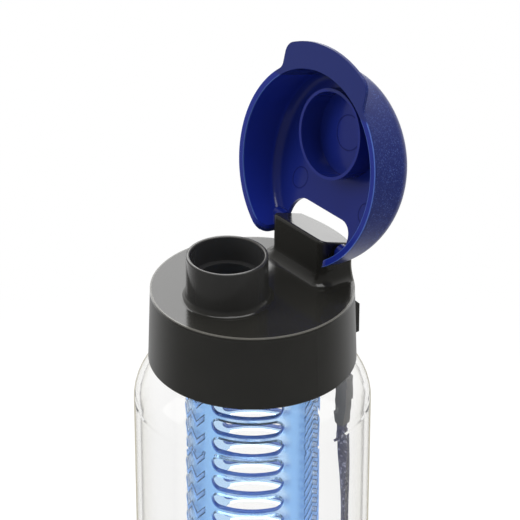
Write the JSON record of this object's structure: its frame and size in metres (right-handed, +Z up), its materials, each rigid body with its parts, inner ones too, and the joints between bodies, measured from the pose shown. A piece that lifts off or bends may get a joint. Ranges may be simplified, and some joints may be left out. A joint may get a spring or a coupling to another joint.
{
  "type": "fruit infuser water bottle",
  "caption": "Clear water bottle with a screw cap, a drinking spout under a hinged flip lid, a slotted fruit infuser basket inside and a webbing wrist strap.",
  "frame": {"origin": "on the bottle's axis, at the level of the ring that it stands on", "axes": "+Z up along the bottle's axis, -Y to the front where the spout is, +Y to the back where the hinge and the strap are, +X along the lid's hinge"},
  "size_m": [0.073, 0.0971, 0.2905],
  "materials": {
    "clear_plastic": "clear, glossy",
    "seal_rubber": "translucent white",
    "cap_plastic": "near-black grey, satin gloss",
    "lid_plastic": "deep blue, glossy inside and finely grained outside",
    "pin_steel": "bright",
    "basket_plastic": "translucent light blue",
    "slider_plastic": "dark grey",
    "strap_webbing": "woven, dark navy with light flecks"
  },
  "bodies": {
    "bottle": {"bottle": "clear_plastic"},
    "neck_seal": {"neck_gasket": "seal_rubber"},
    "cap": {"screw_cap": "cap_plastic", "basket_collar": "basket_plastic", "strap_slider": "slider_plastic", "wrist_strap": "strap_webbing"},
    "lid": {"flip_lid": "lid_plastic", "hinge_pin": "pin_steel"},
    "basket": {"basket_tube": "basket_plastic"},
    "basket_foot": {"basket_base": "basket_plastic"}
  },
  "joints": [
    {"name": "cap_lift", "type": "slide", "parent": "bottle", "child": "neck_seal", "axis": [0, 0, 1], "range_m": [0, 0.175]},
    {"name": "cap_turn", "type": "hinge", "parent": "neck_seal", "child": "cap", "pos_m": [0, 0, 0.21739], "axis": [0, 0, 1], "range_deg": [0, 450]},
    {"name": "lid_hinge", "type": "hinge", "parent": "cap", "child": "lid", "pos_m": [0, 0.0235, 0.22929], "axis": [1, 0, 0], "range_deg": [0, 104]},
    {"name": "basket_release", "type": "slide", "parent": "cap", "child": "basket", "axis": [0, 0, -1], "range_m": [0, 0.02]},
    {"name": "base_release", "type": "slide", "parent": "basket", "child": "basket_foot", "axis": [0, 0, -1], "range_m": [0, 0.008]}
  ]
}
